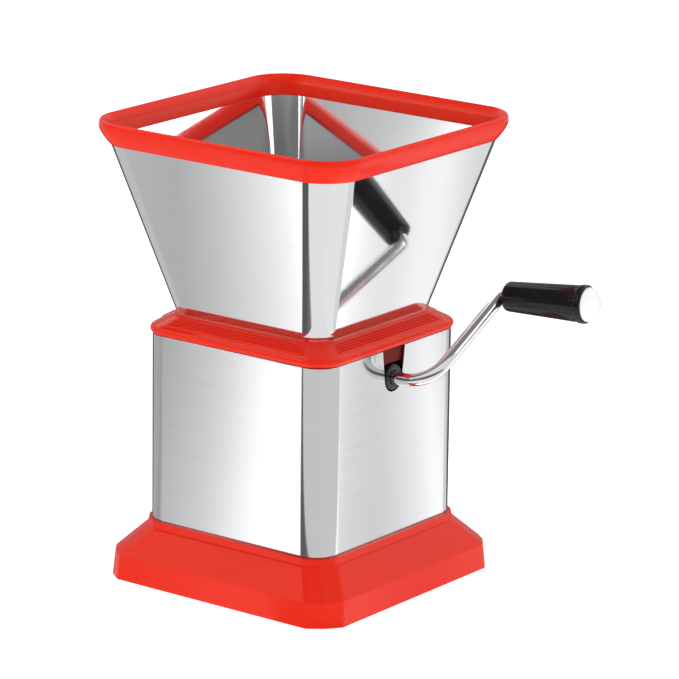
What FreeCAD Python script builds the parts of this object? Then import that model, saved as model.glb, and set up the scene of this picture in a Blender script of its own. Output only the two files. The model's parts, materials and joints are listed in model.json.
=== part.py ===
import FreeCAD, Part
import math
import os
import Sketcher

# Hand-cranked chilli and vegetable cutter.
# A leaning steel hopper stands on a moulded collar.  The collar carries a cradle with two fixed
# blade combs and a toothed rotor, and it rests on a square steel container in a flared base.
# +Z is up, the crank shaft runs along X, the crank is on the +X side, and the origin is the
# centre of the base on the table top.  "half" sizes are half-widths of square outlines.

DIMENSIONS = {
    # how far a cut runs past the face that it opens
    "overrun": 1.0,
    # how much a square outline's corner radius shrinks for each millimetre it draws in
    "corner_shrink": 0.3,
    # base skirt
    "base_half": 70.0,
    "base_corner": 12.5,
    "base_ridge": 0.9,
    "band_half": 69.0,
    "band_top": 12.2,
    "slope_half": 57.9,
    "slope_top": 24.6,
    "slope_corner": 11.5,
    "ledge_rise": 0.3,
    "lip_half": 57.0,
    "lip_top_half": 56.6,
    "lip_corner": 10.5,
    "base_height": 28.3,
    "base_wall": 3.0,
    "cavity_corner": 11.5,
    "cavity_shoulder": 11.4,
    "cavity_top": 20.2,
    "cavity_top_half": 58.6,
    "cavity_top_corner": 10.5,
    "seat_half": 56.4,
    "seat_corner": 13.5,
    "seat_top": 24.0,
    "seat_floor": 5.5,
    # steel container
    "sleeve_half": 54.8,
    "sleeve_corner": 13.0,
    "sleeve_sheet": 0.9,
    "sleeve_top": 120.8,
    "flange_half": 46.0,
    "flange_corner": 6.0,
    "slot_half": 6.9,
    "slot_top_half": 8.6,
    "tray_half": 53.5,
    "tray_corner": 11.7,
    "tray_wall": 1.6,
    "tray_plate": 2.0,
    "tray_top": 14.0,
    "tray_boss": 4.0,
    # screws through the base
    "base_screw_place": 38.0,
    "base_screw_shank": 1.5,
    "base_screw_head": 3.0,
    "base_screw_head_rise": 1.8,
    "base_screw_recess": 2.4,
    "base_screw_tip": 7.8,
    "base_screw_gap": 0.2,
    # hopper
    "hopper_half": 45.9,
    "hopper_corner": 10.75,
    "hopper_bottom": 123.0,
    "flare_bottom": 130.5,
    "hopper_top": 220.5,
    "hopper_top_half": 72.3,
    "hopper_top_corner": 18.2,
    "hopper_sheet": 0.8,
    # hopper rim
    "rim_bottom": 213.9,
    "rim_bottom_half": 71.2,
    "rim_flank": 216.1,
    "rim_flank_half": 72.9,
    "rim_brow": 219.2,
    "rim_brow_half": 74.2,
    "rim_half": 75.2,
    "rim_corner": 20.5,
    "rim_widest": 222.7,
    "rim_top": 225.4,
    "rim_top_half": 74.3,
    "rim_skirt_sheet": 1.0,
    "rim_skirt_top": 221.0,
    "rim_inner_bottom": 215.5,
    "rim_lip": 223.6,
    "rim_lip_half": 72.2,
    "rim_lip_corner": 18.2,
    "rim_edge_half": 73.8,
    "rim_edge_corner": 19.8,
    # collar
    "collar_foot_half": 54.9,
    "collar_belly": 121.7,
    "collar_belly_half": 55.7,
    "collar_widest": 123.0,
    "collar_half": 55.9,
    "collar_corner": 14.0,
    "collar_brow": 124.6,
    "collar_brow_half": 55.3,
    "collar_slope_half": 53.6,
    "collar_slope_bottom": 125.7,
    "collar_slope_top_half": 47.6,
    "collar_slope_top": 129.3,
    "collar_neck": 130.0,
    "collar_neck_half": 46.9,
    "collar_lip_half": 46.4,
    "collar_top": 130.4,
    "collar_bore_half": 44.0,
    "collar_bore_corner": 10.0,
    "spigot_half": 53.4,
    "spigot_corner": 11.6,
    "spigot_wall": 2.0,
    "spigot_bottom": 113.5,
    "rib_radius": 0.6,
    "rib_overhang": 1.5,
    # cradle
    "cradle_flange_half": 51.2,
    "cradle_flange_corner": 9.4,
    "cradle_flange_bottom": 115.0,
    "cradle_top": 118.0,
    "cradle_half": 46.0,
    "cradle_corner": 4.0,
    "throat_half": 43.4,
    "throat_corner": 2.0,
    "cradle_bottom": 84.0,
    "boss_radius": 6.4,
    "near_boss_reach": 52.0,
    "far_boss_reach": 48.5,
    "cradle_screw_x": 30.0,
    "cradle_screw_y": 48.6,
    "cradle_screw_shank": 1.1,
    "cradle_screw_head": 2.2,
    "cradle_screw_head_rise": 1.6,
    "cradle_screw_tip": 122.6,
    "cradle_screw_gap": 0.2,
    # fixed blades
    "comb_half_length": 40.0,
    "comb_sheet": 1.5,
    "comb_bottom": 96.0,
    "comb_rise": 10.0,
    "blade_half_sheet": 0.5,
    "blade_bottom": 97.0,
    "blade_shoulder": 103.0,
    "blade_edge": 104.3,
    "blade_tip": 14.6,
    "blade_pitch": 8.0,
    "blade_count": 10,
    "rivet_radius": 1.2,
    "rivet_head": 2.2,
    "rivet_head_rise": 0.8,
    "rivet_spacing": 24.0,
    "rivet_height": 100.6,
    # crank and rotor
    "shaft_height": 106.5,
    "crank_angle": 34.0,
    "rod_radius": 3.2,
    "shaft_end": 51.5,
    "elbow_x": 75.0,
    "elbow_bend": 15.0,
    "grip_corner_x": 80.6,
    "grip_corner_reach": 61.0,
    "grip_bend": 3.5,
    "grip_tilt": 6.0,
    "spindle_length": 43.6,
    "bush_radius": 4.8,
    "bush_bore": 3.25,
    "near_bush_face": 55.0,
    "far_bush_face": 42.0,
    "far_bush_flange": 7.5,
    "hub_radius": 11.5,
    "hub_half_length": 41.5,
    "pin_radius": 1.5,
    "pin_place": 37.0,
    "star_sheet": 3.0,
    "star_root": 13.0,
    "star_reach": 25.0,
    "thrust_washer_start": 41.7,
    "thrust_washer_radius": 7.0,
    "thrust_washer_sheet": 1.4,
    "shaft_washer_start": 48.7,
    "shaft_washer_radius": 6.0,
    "washer_sheet": 0.6,
    "push_nut_start": 49.5,
    "push_nut_radius": 5.4,
    "push_nut_sheet": 0.8,
    # grip, measured along its spindle from the corner of the rod
    "grip_start": 3.0,
    "grip_end": 47.0,
    "grip_bore": 3.3,
    "grip_face_radius": 5.2,
    "grip_root_end": 5.4,
    "grip_root_radius": 7.3,
    "grip_waist_end": 12.4,
    "grip_waist_radius": 7.6,
    "grip_body_end": 40.4,
    "grip_body_radius": 8.8,
    "grip_flare_start": 42.6,
    "grip_flare_radius": 9.3,
    "grip_flare_edge": 0.8,
    "grip_pocket_radius": 7.0,
    "grip_pocket_floor": 41.6,
    "grip_nut_start": 41.8,
    "grip_nut_radius": 6.0,
    "cap_radius": 8.2,
    "cap_plug_start": 44.8,
    "cap_dome": 5.2,
}

STAR_COUNT = 9
STAR_TEETH = 3
TOOTH_OVERLAP = 1.0        # how far a tooth starts inside the star's root ring
RIB_COUNT = 5
RIM_SHOULDER_STEPS = 3     # flats that make each rounded edge
GRIP_ROOT_STEPS = 3
CAP_STEPS = 5
CAP_FULLNESS = 0.8         # under 1 makes the cap's dome squarer than an ellipse
SMALLEST_CUT = 0.5         # cubic millimetres: a cut that takes less has missed its body
FOUR_CORNERS = ((1, 1), (-1, 1), (-1, -1), (1, -1))
X_AXIS = FreeCAD.Vector(1, 0, 0)
Y_AXIS = FreeCAD.Vector(0, 1, 0)
Z_AXIS = FreeCAD.Vector(0, 0, 1)

doc = FreeCAD.newDocument("vegetable_cutter")
sheet = doc.addObject("Spreadsheet::Sheet", "dims")
for row, (alias, value) in enumerate(DIMENSIONS.items(), start=1):
    sheet.set(f"A{row}", alias.replace("_", " "))
    sheet.set(f"B{row}", str(value))
    sheet.setAlias(f"B{row}", alias)
doc.recompute()

nodes = []


def size(alias):
    """A driving dimension, read from the sheet."""
    return float(sheet.get(alias))


# ---------------------------------------------------------------- building helpers

def new_body(name):
    body = doc.addObject("PartDesign::Body", name)
    body.Label = name
    return body


def keep(part, label=None):
    """Marks a finished sub-part: its label names its file."""
    if label:
        part.Label = label
    nodes.append(part)
    return part


def origin_feature(body, role):
    return next(item for item in body.Origin.OriginFeatures if item.Role == role)


def new_sketch(body, name, plane="XY_Plane", offset=None):
    """A sketch on one of the body's own planes, moved along the plane's normal by offset."""
    sketch = body.newObject("Sketcher::SketchObject", name)
    sketch.AttachmentSupport = [(origin_feature(body, plane), "")]
    sketch.MapMode = "FlatFace"
    if offset:
        sketch.setExpression("AttachmentOffset.Base.z", offset)
    return sketch


def bind(sketch, constraint, expression):
    index = sketch.addConstraint(constraint)
    sketch.setExpression(f"Constraints[{index}]", expression)


def pin(sketch, element, point, guess, across, up):
    """Holds one point of an element at two bound distances from the sketch's origin."""
    bind(sketch, Sketcher.Constraint("DistanceX", -1, 1, element, point, guess.x), across)
    bind(sketch, Sketcher.Constraint("DistanceY", -1, 1, element, point, guess.y), up)


def polygon(sketch, corners):
    """A closed outline through corners, each given as two expressions."""
    count = len(corners)
    first = sketch.GeometryCount
    guesses = []
    for number in range(count):
        turn = 2 * math.pi * number / count
        guesses.append(FreeCAD.Vector(30 * math.cos(turn), 30 * math.sin(turn), 0))
    for number in range(count):
        sketch.addGeometry(Part.LineSegment(guesses[number], guesses[(number + 1) % count]))
    for number in range(count):
        following = first + (number + 1) % count
        sketch.addConstraint(Sketcher.Constraint("Coincident", first + number, 2, following, 1))
    for number, (across, up) in enumerate(corners):
        pin(sketch, first + number, 1, guesses[number], across, up)


def circle(sketch, radius, across="0", up="0"):
    guess = FreeCAD.Vector(2, 2, 0)
    index = sketch.addGeometry(Part.Circle(guess, Z_AXIS, 1.0))
    bind(sketch, Sketcher.Constraint("Radius", index, 1.0), radius)
    pin(sketch, index, 3, guess, across, up)


def rounded_square(sketch, half, corner):
    """A square centred on the origin, with four equal arcs for corners."""
    side = 40.0
    bend = 8.0
    arm = side - bend
    for turn in range(4):
        spin = FreeCAD.Rotation(Z_AXIS, 90 * turn)
        start = spin.multVec(FreeCAD.Vector(-arm, -side, 0))
        end = spin.multVec(FreeCAD.Vector(arm, -side, 0))
        sketch.addGeometry(Part.LineSegment(start, end))
    for turn in range(4):
        centre = FreeCAD.Rotation(Z_AXIS, 90 * turn).multVec(FreeCAD.Vector(arm, -arm, 0))
        begin = math.radians(90 * turn - 90)
        arc = Part.ArcOfCircle(Part.Circle(centre, Z_AXIS, bend), begin, begin + math.pi / 2)
        sketch.addGeometry(arc)
    for turn in range(4):
        sketch.addConstraint(Sketcher.Constraint("Tangent", turn, 2, turn + 4, 1))
        sketch.addConstraint(Sketcher.Constraint("Tangent", turn + 4, 2, (turn + 1) % 4, 1))
    for turn, kind in enumerate(("Horizontal", "Vertical", "Horizontal", "Vertical")):
        sketch.addConstraint(Sketcher.Constraint(kind, turn))
    for turn in range(3):
        sketch.addConstraint(Sketcher.Constraint("Equal", turn + 4, turn + 5))
    sketch.addConstraint(Sketcher.Constraint("Symmetric", 4, 3, 6, 3, -1, 1))
    bind(sketch, Sketcher.Constraint("Radius", 4, bend), corner)
    bind(sketch, Sketcher.Constraint("DistanceX", 3, 1, 1, 1, 2 * side), f"2 * ({half})")
    bind(sketch, Sketcher.Constraint("DistanceY", 0, 1, 2, 1, 2 * side), f"2 * ({half})")


def ridged_square(sketch, half, corner):
    """A square with flattened corners, each with a low ridge down its middle."""
    flat = f"({half})"
    near = f"({half} - {corner})"
    ridge = f"({half} - ({corner}) / 2 + dims.base_ridge)"
    corners = []
    for number, (right, up) in enumerate(FOUR_CORNERS):
        quarter = [(flat, near), (ridge, ridge), (near, flat)]
        if number % 2:
            quarter.reverse()
        for across, rise in quarter:
            corners.append((f"{right} * {across}", f"{up} * {rise}"))
    polygon(sketch, corners)


def quarter_round(start, end, steps, fullness=1.0):
    """Points on a quarter of an ellipse: it leaves start along its second value and ends at end
    along its first one.  Both are pairs of expressions."""
    points = []
    for step in range(steps + 1):
        turn = math.pi / 2 * step / steps
        first = 1 - math.cos(turn) ** fullness
        second = math.sin(turn)
        points.append((f"{start[0]} + ({end[0]} - ({start[0]})) * {first:.5f}",
                       f"{start[1]} + ({end[1]} - ({start[1]})) * {second:.5f}"))
    return points


def loft(body, kind, name, outline, sections):
    """Joins outlines given as (half, corner, height) expressions with straight ruled sides."""
    sketches = []
    for number, (half, corner, height) in enumerate(sections, start=1):
        sketch = new_sketch(body, f"{name}_section_{number}", offset=height)
        outline(sketch, half, corner)
        sketches.append(sketch)
    feature = body.newObject(f"PartDesign::{kind}", name)
    feature.Profile = sketches[0]
    feature.Sections = sketches[1:]
    feature.Ruled = True
    return feature


def pad(body, sketch, name, length, reverse=False):
    feature = body.newObject("PartDesign::Pad", name)
    feature.Profile = sketch
    feature.setExpression("Length", length)
    feature.Reversed = reverse
    return feature


def pocket(body, sketch, name, length=None, along_normal=True):
    """A cut along the sketch's normal, or against it; with no length it goes right through."""
    feature = body.newObject("PartDesign::Pocket", name)
    feature.Profile = sketch
    feature.Reversed = along_normal
    if length:
        feature.setExpression("Length", length)
    else:
        feature.Type = "ThroughAll"
    return feature


def revolve(body, name, corners):
    """A turned piece: an outline of (along X, radius) expressions spun round the X axis."""
    sketch = new_sketch(body, f"{name}_profile")
    polygon(sketch, corners)
    feature = body.newObject("PartDesign::Revolution", name)
    feature.Profile = sketch
    feature.ReferenceAxis = (sketch, ["H_Axis"])
    feature.Angle = 360
    return feature


def square_pad(body, name, half, corner, bottom, top):
    sketch = new_sketch(body, f"{name}_outline", offset=bottom)
    rounded_square(sketch, half, corner)
    return pad(body, sketch, name, f"{top} - {bottom}")


def square_pocket(body, name, half, corner, bottom, top):
    sketch = new_sketch(body, f"{name}_outline", offset=bottom)
    rounded_square(sketch, half, corner)
    return pocket(body, sketch, name, f"{top} - {bottom}")


def four_holes(body, name, radius, across, along, bottom, top):
    sketch = new_sketch(body, f"{name}_circles", offset=bottom)
    for right, up in FOUR_CORNERS:
        circle(sketch, radius, f"{right} * {across}", f"{up} * {along}")
    return pocket(body, sketch, name, f"{top} - {bottom}")


def rod(name, radius, length, base, axis=Z_AXIS):
    """A plain cylinder with bound sizes; base holds three expressions."""
    cylinder = doc.addObject("Part::Cylinder", name)
    cylinder.Placement.Rotation = FreeCAD.Rotation(Z_AXIS, axis)
    cylinder.setExpression("Radius", radius)
    cylinder.setExpression("Height", length)
    for letter, expression in zip("xyz", base):
        cylinder.setExpression(f"Placement.Base.{letter}", expression)
    return cylinder


def fuse(name, shapes):
    joined = doc.addObject("Part::MultiFuse", name)
    joined.Shapes = shapes
    return joined


def group(name, pieces):
    """Several separate solids that share one node."""
    compound = doc.addObject("Part::Compound", name)
    compound.Links = pieces
    return keep(compound, name)


def cut_by(name, base, tool):
    remainder = doc.addObject("Part::Cut", name)
    remainder.Base = base
    remainder.Tool = tool
    return keep(remainder, name)


def on_shaft(body, turn="0"):
    """Puts a body, built round its own X axis, on the crank shaft and turns it with the crank."""
    any_angle = 1
    body.Placement.Rotation = FreeCAD.Rotation(X_AXIS, any_angle)
    body.setExpression("Placement.Base.z", "dims.shaft_height")
    body.setExpression("Placement.Rotation.Angle", turn)


def on_spindle(body):
    """Puts a body, built round its own X axis, on the tilted end of the crank."""
    shaft = FreeCAD.Placement(
        FreeCAD.Vector(0, 0, size("shaft_height")), FreeCAD.Rotation(X_AXIS, size("crank_angle")))
    corner = FreeCAD.Vector(size("grip_corner_x"), size("grip_corner_reach"), 0)
    body.Placement = shaft * FreeCAD.Placement(corner, FreeCAD.Rotation(Z_AXIS, size("grip_tilt")))


# ---------------------------------------------------------------- base and container

def base_skirt():
    """Flared plastic base: grooved below, with a square well that the container stands in."""
    body = new_body("base_skirt")
    loft(body, "AdditiveLoft", "flared_outside", ridged_square, [
        ("dims.base_half", "dims.base_corner", "0"),
        ("dims.band_half", "dims.base_corner", "dims.band_top"),
        ("dims.slope_half", "dims.slope_corner", "dims.slope_top"),
        ("dims.lip_half", "dims.lip_corner", "dims.slope_top + dims.ledge_rise"),
        ("dims.lip_top_half", "dims.lip_corner", "dims.base_height"),
    ])
    loft(body, "SubtractiveLoft", "underside_groove", ridged_square, [
        ("dims.base_half - dims.base_wall", "dims.cavity_corner", "0"),
        ("dims.band_half - dims.base_wall", "dims.cavity_corner", "dims.cavity_shoulder"),
        ("dims.cavity_top_half", "dims.cavity_top_corner", "dims.cavity_top"),
    ])
    square_pad(body, "seat_block", "dims.seat_half", "dims.seat_corner", "0", "dims.seat_top")
    square_pocket(body, "container_well", "dims.sleeve_half", "dims.sleeve_corner",
                  "dims.seat_floor", "(dims.base_height + dims.overrun)")
    place = "dims.base_screw_place"
    four_holes(body, "screw_holes", "dims.base_screw_shank + dims.base_screw_gap",
               place, place, "0", "dims.seat_floor")
    four_holes(body, "screw_head_recesses", "dims.base_screw_head + dims.base_screw_gap",
               place, place, "0", "dims.base_screw_recess")
    keep(body)


def container_sleeve():
    """Square steel tube: a flange turned in at the bottom, and a slot for the shaft that widens
    from its round foot to its open top."""
    body = new_body("container_sleeve")
    square_pad(body, "outside", "dims.sleeve_half", "dims.sleeve_corner",
               "dims.seat_floor", "dims.sleeve_top")
    inner = "(dims.sleeve_half - dims.sleeve_sheet)"
    square_pocket(body, "inside", inner, "dims.sleeve_corner - dims.sleeve_sheet",
                  "(dims.seat_floor + dims.sleeve_sheet)", "(dims.sleeve_top + dims.overrun)")
    square_pocket(body, "flange_opening", "dims.flange_half", "dims.flange_corner",
                  "dims.seat_floor", "(dims.seat_floor + 2 * dims.sleeve_sheet)")
    sides = new_sketch(body, "slot_sides", "YZ_Plane")
    polygon(sides, [
        ("-dims.slot_half", "dims.shaft_height"),
        ("dims.slot_half", "dims.shaft_height"),
        ("dims.slot_top_half", "dims.sleeve_top"),
        ("dims.slot_top_half", "dims.sleeve_top + dims.overrun"),
        ("-dims.slot_top_half", "dims.sleeve_top + dims.overrun"),
        ("-dims.slot_top_half", "dims.sleeve_top"),
    ])
    pocket(body, sides, "slot", "dims.sleeve_half + dims.overrun")
    foot = new_sketch(body, "slot_round", "YZ_Plane")
    circle(foot, "dims.slot_half", "0", "dims.shaft_height")
    pocket(body, foot, "slot_foot", "dims.sleeve_half + dims.overrun")
    keep(body)


def container_floor():
    """Food tray that closes the container and clamps the sleeve's flange to the base."""
    body = new_body("container_floor")
    plate = "(dims.seat_floor + dims.sleeve_sheet)"
    square_pad(body, "plate_and_wall", "dims.tray_half", "dims.tray_corner", plate, "dims.tray_top")
    square_pocket(body, "tray_inside", "dims.tray_half - dims.tray_wall",
                  "dims.tray_corner - dims.tray_wall",
                  "(dims.seat_floor + dims.sleeve_sheet + dims.tray_plate)",
                  "(dims.tray_top + dims.overrun)")
    bosses = new_sketch(body, "boss_circles", offset="dims.seat_floor")
    for right, up in FOUR_CORNERS:
        circle(bosses, "dims.tray_boss", f"{right} * dims.base_screw_place",
               f"{up} * dims.base_screw_place")
    pad(body, bosses, "bosses", "dims.sleeve_sheet + dims.tray_plate / 2")
    place = "dims.base_screw_place"
    four_holes(body, "screw_holes", "dims.base_screw_shank", place, place,
               "dims.seat_floor", "dims.base_screw_tip")
    keep(body)


def screw(name, across, along, shank, head, under_head, head_rise, tip):
    """A pan-head screw, head down, from the face under_head up to its tip."""
    stem = rod(f"{name}_stem", shank, f"{tip} - {under_head}", (across, along, under_head))
    cap = rod(f"{name}_head", head, head_rise, (across, along, f"{under_head} - {head_rise}"))
    return fuse(name, [stem, cap])


def base_screws():
    pieces = []
    for number, (right, up) in enumerate(FOUR_CORNERS, start=1):
        pieces.append(screw(
            f"base_screw_{number}", f"{right} * dims.base_screw_place",
            f"{up} * dims.base_screw_place", "dims.base_screw_shank", "dims.base_screw_head",
            "dims.base_screw_recess", "dims.base_screw_head_rise", "dims.base_screw_tip"))
    group("base_screws", pieces)


# ---------------------------------------------------------------- hopper, rim and collar

def hopper():
    """Steel sheet funnel: a straight neck, then four walls that lean out."""
    body = new_body("hopper")
    loft(body, "AdditiveLoft", "outside", rounded_square, [
        ("dims.hopper_half", "dims.hopper_corner", "dims.hopper_bottom"),
        ("dims.hopper_half", "dims.hopper_corner", "dims.flare_bottom"),
        ("dims.hopper_top_half", "dims.hopper_top_corner", "dims.hopper_top"),
    ])
    loft(body, "SubtractiveLoft", "inside", rounded_square, [
        ("dims.hopper_half - dims.hopper_sheet", "dims.hopper_corner - dims.hopper_sheet",
         "dims.hopper_bottom"),
        ("dims.hopper_half - dims.hopper_sheet", "dims.hopper_corner - dims.hopper_sheet",
         "dims.flare_bottom"),
        ("dims.hopper_top_half - dims.hopper_sheet", "dims.hopper_top_corner - dims.hopper_sheet",
         "dims.hopper_top"),
    ])
    return keep(body)


def hopper_wall(height, inset="0"):
    """Half-width and corner radius of the hopper's leaning wall at a height."""
    climb = f"(({height}) - dims.flare_bottom) / (dims.hopper_top - dims.flare_bottom)"
    half = (f"dims.hopper_half + (dims.hopper_top_half - dims.hopper_half) * {climb}"
            f" - ({inset})")
    corner = (f"dims.hopper_corner + (dims.hopper_top_corner - dims.hopper_corner) * {climb}"
              f" - ({inset})")
    return half, corner, height


def drawn_in(levels, widest, widest_corner):
    """Gives each (half-width, height) level a corner radius that shrinks as it draws in."""
    sections = []
    for half, height in levels:
        corner = f"{widest_corner} - dims.corner_shrink * ({widest} - ({half}))"
        sections.append((half, corner, height))
    return sections


def hopper_rim(funnel):
    """Plastic bead over the hopper's top edge, which stands in a groove in it.  The bead's crest
    is near its outer edge, its top slopes inward, and a thin skirt runs down inside the wall."""
    body = new_body("rim_blank")
    flank = [
        ("dims.rim_bottom_half", "dims.rim_bottom"),
        ("dims.rim_flank_half", "dims.rim_flank"),
        ("dims.rim_brow_half", "dims.rim_brow"),
    ]
    shoulder = quarter_round(("dims.rim_half", "dims.rim_widest"),
                             ("dims.rim_top_half", "dims.rim_top"), RIM_SHOULDER_STEPS)
    loft(body, "AdditiveLoft", "bead", rounded_square,
         drawn_in(flank + shoulder, "dims.rim_half", "dims.rim_corner"))
    skirt = "dims.hopper_sheet + dims.rim_skirt_sheet"
    loft(body, "SubtractiveLoft", "mouth", rounded_square, [
        hopper_wall("dims.rim_bottom", skirt),
        hopper_wall("dims.rim_skirt_top", skirt),
        ("dims.rim_lip_half", "dims.rim_lip_corner", "dims.rim_lip"),
        ("dims.rim_edge_half", "dims.rim_edge_corner", "dims.rim_top"),
    ])
    loft(body, "SubtractiveLoft", "below_inner_wall", rounded_square, [
        hopper_wall("dims.rim_bottom", "dims.hopper_sheet"),
        hopper_wall("dims.rim_inner_bottom", "dims.hopper_sheet"),
    ])
    cut_by("hopper_rim", body, funnel)


def collar_ribs():
    """Fine ribs along each side of the collar's slope, one above the other.  Each ends just past
    the straight part of its side."""
    ribs = []
    inward = size("collar_slope_top_half") - size("collar_slope_half")
    upward = size("collar_slope_top") - size("collar_slope_bottom")
    for side in range(4):
        spin = FreeCAD.Rotation(Z_AXIS, 90 * side)
        for number in range(RIB_COUNT):
            share = (number + 0.5) / RIB_COUNT
            half = size("collar_slope_half") + share * inward
            corner = size("collar_corner") - size("corner_shrink") * (size("collar_half") - half)
            half_length = half - corner + size("rib_overhang")
            height = size("collar_slope_bottom") + share * upward
            start = FreeCAD.Vector(half, -half_length, height)
            rib = doc.addObject("Part::Cylinder", f"collar_rib_{side + 1}_{number + 1}")
            rib.setExpression("Radius", "dims.rib_radius")
            rib.Height = 2 * half_length
            rib.Placement = FreeCAD.Placement(
                spin.multVec(start), spin * FreeCAD.Rotation(Z_AXIS, Y_AXIS))
            ribs.append(rib)
    return ribs


def collar():
    """Plastic collar: holds the hopper's neck, drops into the container and carries the cradle."""
    body = new_body("collar_blank")
    seat = "dims.sleeve_top"
    levels = [
        ("dims.collar_foot_half", seat),
        ("dims.collar_belly_half", "dims.collar_belly"),
        ("dims.collar_half", "dims.collar_widest"),
        ("dims.collar_brow_half", "dims.collar_brow"),
        ("dims.collar_slope_half", "dims.collar_slope_bottom"),
        ("dims.collar_slope_top_half", "dims.collar_slope_top"),
        ("dims.collar_neck_half", "dims.collar_neck"),
        ("dims.collar_lip_half", "dims.collar_top"),
    ]
    loft(body, "AdditiveLoft", "outside", rounded_square,
         drawn_in(levels, "dims.collar_half", "dims.collar_corner"))
    square_pad(body, "spigot", "dims.spigot_half", "dims.spigot_corner",
               "dims.spigot_bottom", seat)
    square_pocket(body, "spigot_inside", "dims.spigot_half - dims.spigot_wall",
                  "dims.spigot_corner - dims.spigot_wall", "dims.spigot_bottom", "dims.cradle_top")
    square_pocket(body, "food_opening", "dims.collar_bore_half", "dims.collar_bore_corner",
                  "dims.cradle_top", "(dims.collar_top + dims.overrun)")
    square_pocket(body, "neck_seat", "dims.hopper_half", "dims.hopper_corner",
                  "dims.hopper_bottom", "(dims.collar_top + dims.overrun)")
    four_holes(body, "screw_holes", "dims.cradle_screw_shank", "dims.cradle_screw_x",
               "dims.cradle_screw_y", "dims.cradle_top", "(dims.cradle_screw_tip + dims.cradle_screw_gap)")
    keep(fuse("collar", [body] + collar_ribs()), "collar")


# ---------------------------------------------------------------- cradle and fixed blades

def rivet_circles(sketch):
    for column in (-1, 0, 1):
        circle(sketch, "dims.rivet_radius", f"{column} * dims.rivet_spacing",
               "dims.rivet_height")


def cutter_cradle():
    """Plastic frame under the collar: the food's throat, with a boss for each shaft bush."""
    body = new_body("cutter_cradle")
    square_pad(body, "flange", "dims.cradle_flange_half", "dims.cradle_flange_corner",
               "dims.cradle_flange_bottom", "dims.cradle_top")
    square_pad(body, "tube", "dims.cradle_half", "dims.cradle_corner",
               "dims.cradle_bottom", "dims.cradle_top")
    near = new_sketch(body, "near_boss_circle", "YZ_Plane")
    circle(near, "dims.boss_radius", "0", "dims.shaft_height")
    pad(body, near, "near_boss", "dims.near_boss_reach")
    far = new_sketch(body, "far_boss_circle", "YZ_Plane")
    circle(far, "dims.boss_radius", "0", "dims.shaft_height")
    pad(body, far, "far_boss", "dims.far_boss_reach", reverse=True)
    square_pocket(body, "throat", "dims.throat_half", "dims.throat_corner",
                  "(dims.cradle_bottom - dims.overrun)", "(dims.cradle_top + dims.overrun)")
    bores = new_sketch(body, "bush_bore_circle", "YZ_Plane")
    circle(bores, "dims.bush_radius", "0", "dims.shaft_height")
    bore = pocket(body, bores, "bush_bores")
    bore.Midplane = True
    four_holes(body, "screw_holes", "dims.cradle_screw_shank + dims.cradle_screw_gap",
               "dims.cradle_screw_x", "dims.cradle_screw_y",
               "dims.cradle_flange_bottom", "dims.cradle_top")
    rivets = new_sketch(body, "rivet_hole_circles", "XZ_Plane")
    rivet_circles(rivets)
    holes = pocket(body, rivets, "rivet_holes")
    holes.Midplane = True
    keep(body)


def cradle_screws():
    pieces = []
    for number, (right, up) in enumerate(FOUR_CORNERS, start=1):
        pieces.append(screw(
            f"cradle_screw_{number}", f"{right} * dims.cradle_screw_x",
            f"{up} * dims.cradle_screw_y", "dims.cradle_screw_shank", "dims.cradle_screw_head",
            "dims.cradle_flange_bottom", "dims.cradle_screw_head_rise", "dims.cradle_screw_tip"))
    group("cradle_screws", pieces)


def blade_comb(name, turn):
    """A row of sharpened steel blades on a strip that is riveted to the throat's wall."""
    body = new_body(name)
    strip = new_sketch(body, "strip_outline", offset="dims.comb_bottom")
    wall = "-dims.throat_half"
    face = "-(dims.throat_half - dims.comb_sheet)"
    polygon(strip, [
        ("-dims.comb_half_length", wall),
        ("dims.comb_half_length", wall),
        ("dims.comb_half_length", face),
        ("-dims.comb_half_length", face),
    ])
    pad(body, strip, "strip", "dims.comb_rise")
    blade = new_sketch(body, "blade_outline", "XZ_Plane", "dims.throat_half - dims.comb_sheet")
    middle = "(dims.blade_count - 1) / 2 * dims.blade_pitch"
    left = f"-{middle} - dims.blade_half_sheet"
    right = f"-{middle} + dims.blade_half_sheet"
    polygon(blade, [
        (left, "dims.blade_bottom"),
        (right, "dims.blade_bottom"),
        (right, "dims.blade_shoulder"),
        (f"-{middle}", "dims.blade_edge"),
        (left, "dims.blade_shoulder"),
    ])
    first = pad(body, blade, "blade", "dims.throat_half - dims.comb_sheet - dims.blade_tip",
                reverse=True)
    row = body.newObject("PartDesign::LinearPattern", "blades")
    row.Originals = [first]
    row.Direction = (blade, ["H_Axis"])
    row.setExpression("Length", f"2 * {middle}")
    row.setExpression("Occurrences", "dims.blade_count")
    body.Tip = row
    holes = new_sketch(body, "rivet_circles", "XZ_Plane", "dims.throat_half")
    rivet_circles(holes)
    pocket(body, holes, "rivet_holes", "dims.comb_sheet", along_normal=False)
    body.Placement = FreeCAD.Placement(FreeCAD.Vector(), FreeCAD.Rotation(Z_AXIS, turn))
    keep(body)


def comb_rivets():
    """Round-headed rivets through each comb's strip and the cradle's wall."""
    pieces = []
    for side in (-1, 1):
        outward = FreeCAD.Vector(0, side, 0)
        inner = "(dims.throat_half - dims.comb_sheet)"
        for column in (-1, 0, 1):
            name = f"comb_rivet_{side + 2}_{column + 2}"
            across = f"{column} * dims.rivet_spacing"
            stem = rod(f"{name}_stem", "dims.rivet_radius", f"dims.cradle_half - {inner}",
                       (across, f"{side} * {inner}", "dims.rivet_height"), outward)
            inside = rod(f"{name}_inside_head", "dims.rivet_head", "dims.rivet_head_rise",
                         (across, f"{side} * ({inner} - dims.rivet_head_rise)",
                          "dims.rivet_height"), outward)
            outside = rod(f"{name}_outside_head", "dims.rivet_head", "dims.rivet_head_rise",
                          (across, f"{side} * dims.cradle_half", "dims.rivet_height"), outward)
            pieces.append(fuse(name, [stem, inside, outside]))
    group("comb_rivets", pieces)


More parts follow.
